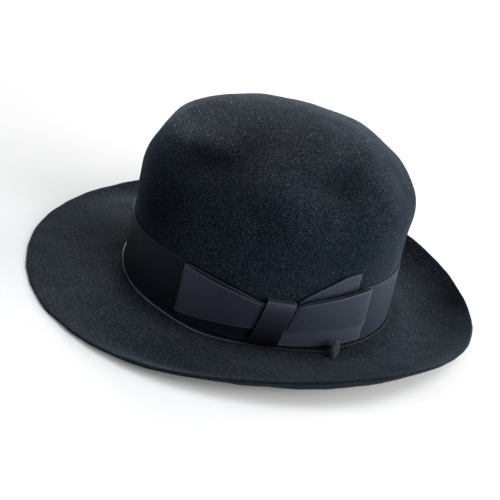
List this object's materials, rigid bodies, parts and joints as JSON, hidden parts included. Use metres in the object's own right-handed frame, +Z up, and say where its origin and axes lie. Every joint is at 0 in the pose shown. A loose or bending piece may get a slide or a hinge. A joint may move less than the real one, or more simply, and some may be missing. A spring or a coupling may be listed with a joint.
{
  "type": "fedora",
  "caption": "Soft felt fedora with a domed, lightly pinched crown, a brim rolled up at the sides and back, and a wide ribbon band with a side bow; worn on the head for shade and dress.",
  "frame": {"origin": "middle of the brim's outline, on the surface that the hat rests on", "axes": "+Z up through the crown, -Y towards the front of the hat, +X towards the wearer's left, where the bow is"},
  "size_m": [0.3038, 0.3488, 0.15],
  "materials": {
    "felt": "napped wool and fur felt, blue-black with light flecks",
    "band_ribbon": "grosgrain ribbon, ribs across, fine selvages",
    "bow_ribbon": "grosgrain ribbon, ribs across, fine selvages",
    "knot_ribbon": "grosgrain ribbon, pulled tight, bare",
    "cord": "thin twisted cord",
    "button_cloth": "ribbon cloth over a button"
  },
  "bodies": {
    "root": {"felt_body": "felt", "hat_band": "band_ribbon", "bow_front_loop": "bow_ribbon", "bow_front_under_layer": "bow_ribbon", "bow_rear_loop": "bow_ribbon", "bow_rear_under_layer": "bow_ribbon", "bow_rear_tail": "bow_ribbon", "bow_knot": "knot_ribbon", "wind_cord": "cord", "cord_button": "button_cloth"}
  },
  "joints": []
}
